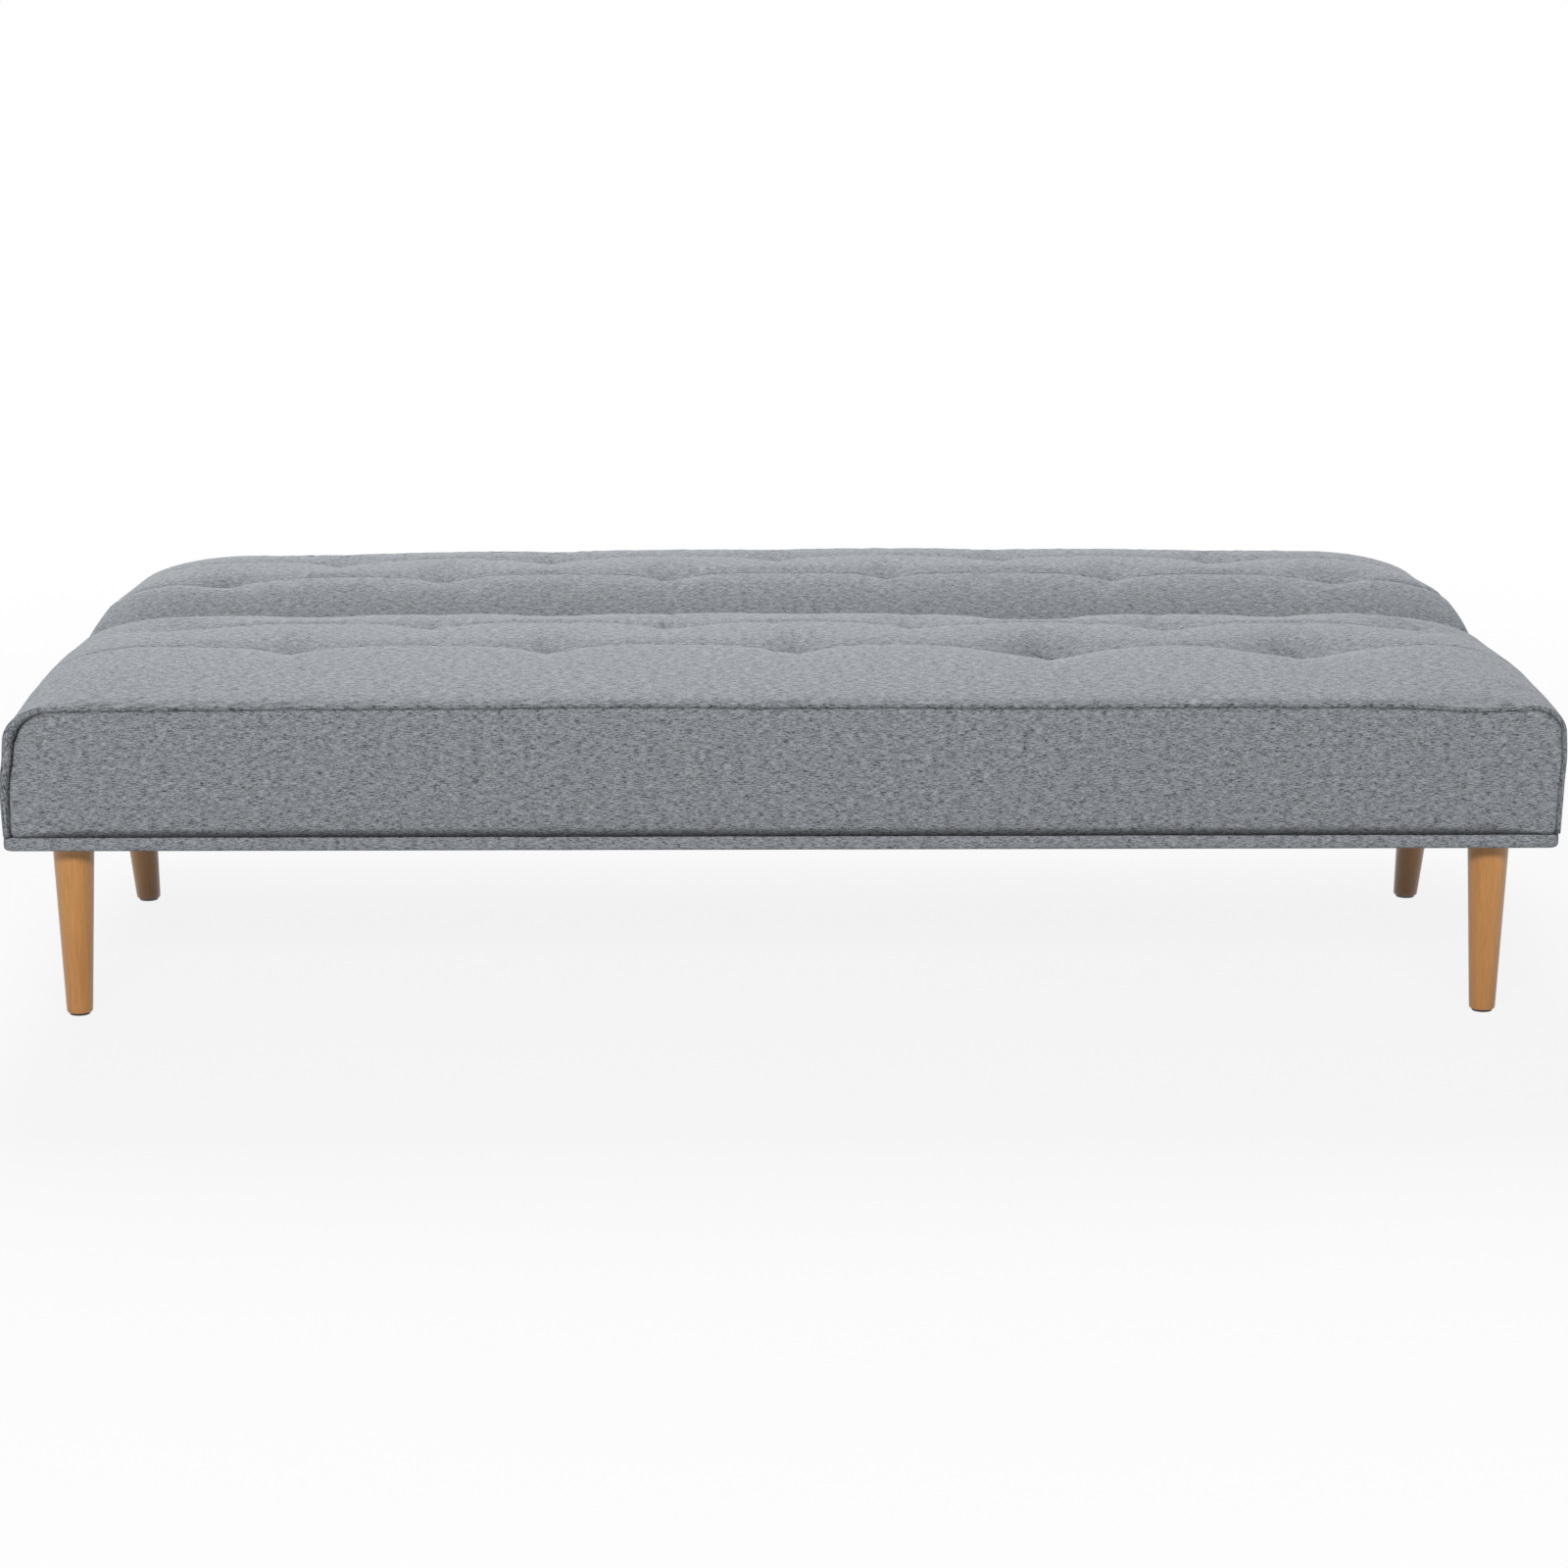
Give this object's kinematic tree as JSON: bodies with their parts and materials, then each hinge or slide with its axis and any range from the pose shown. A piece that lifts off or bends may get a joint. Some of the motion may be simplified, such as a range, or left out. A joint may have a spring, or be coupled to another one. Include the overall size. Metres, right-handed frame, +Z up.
{
  "type": "click clack sofa bed",
  "caption": "Armless click clack sofa bed folded flat, with tufted pads, a slim plinth, tapered timber legs and ratchet hinges that raise the back.",
  "frame": {"origin": "on the floor, under the middle of the flat bed", "axes": "+X along the bed to the right of someone who faces it, -Y towards the sitter, +Z up"},
  "size_m": [1.8, 1.05, 0.395],
  "materials": {
    "pad_cloth": "heathered woven upholstery cloth",
    "band_cloth": "heathered woven upholstery cloth",
    "foam": "open-cell seat foam",
    "frame_timber": "planed softwood",
    "slat_timber": "sanded beech",
    "leg_timber": "clear satin lacquer on beech",
    "lining": "black non-woven lining",
    "hinge_steel": "bright zinc plate",
    "dark_steel": "black oxide",
    "glide_felt": "dark pressed glide"
  },
  "bodies": {
    "seat_unit": {"glide_front_left": "glide_felt", "glide_front_right": "glide_felt", "glide_rear_left": "glide_felt", "glide_rear_right": "glide_felt", "hinge_pin_left": "dark_steel", "hinge_pin_right": "dark_steel", "hinge_seat_arm_left": "hinge_steel", "hinge_seat_arm_right": "hinge_steel", "leg_block_front_left": "frame_timber", "leg_block_front_right": "frame_timber", "leg_block_rear_left": "frame_timber", "leg_block_rear_right": "frame_timber", "leg_front_left": "leg_timber", "leg_front_right": "leg_timber", "leg_plate_front_left": "hinge_steel", "leg_plate_front_right": "hinge_steel", "leg_plate_rear_left": "hinge_steel", "leg_plate_rear_right": "hinge_steel", "leg_rear_left": "leg_timber", "leg_rear_right": "leg_timber", "seat_centre_bearer": "frame_timber", "seat_cover": "pad_cloth", "seat_foam": "foam", "seat_lining": "lining", "seat_plinth_front": "band_cloth", "seat_plinth_left": "band_cloth", "seat_plinth_rear": "band_cloth", "seat_plinth_right": "band_cloth", "seat_rail_front": "frame_timber", "seat_rail_left": "frame_timber", "seat_rail_rear": "frame_timber", "seat_rail_right": "frame_timber", "seat_slat_1": "slat_timber", "seat_slat_2": "slat_timber", "seat_slat_3": "slat_timber", "seat_slat_4": "slat_timber", "seat_slat_5": "slat_timber"},
    "back_unit": {"back_centre_bearer": "frame_timber", "back_cover": "pad_cloth", "back_foam": "foam", "back_outer_panel": "pad_cloth", "back_plinth_far": "band_cloth", "back_plinth_left": "band_cloth", "back_plinth_near": "band_cloth", "back_plinth_right": "band_cloth", "back_rail_far": "frame_timber", "back_rail_left": "frame_timber", "back_rail_near": "frame_timber", "back_rail_right": "frame_timber", "back_slat_1": "slat_timber", "back_slat_2": "slat_timber", "back_slat_3": "slat_timber", "back_slat_4": "slat_timber", "hinge_back_arm_left": "hinge_steel", "hinge_back_arm_right": "hinge_steel", "pawl_spring_left": "dark_steel", "pawl_spring_right": "dark_steel"},
    "pawl_left": {"pawl_left": "dark_steel"},
    "pawl_right": {"pawl_right": "dark_steel"}
  },
  "joints": [
    {"name": "back_recline", "type": "hinge", "parent": "seat_unit", "child": "back_unit", "pos_m": [0, 0.071, 0.33], "axis": [1, 0, 0], "range_deg": [0, 84]},
    {"name": "pawl_left_swing", "type": "hinge", "parent": "back_unit", "child": "pawl_left", "pos_m": [-0.8717, 0.11032, 0.30247], "axis": [1, 0, 0], "range_deg": [-12, 0]},
    {"name": "pawl_right_swing", "type": "hinge", "parent": "back_unit", "child": "pawl_right", "pos_m": [0.8717, 0.11032, 0.30247], "axis": [1, 0, 0], "range_deg": [-12, 0]}
  ]
}
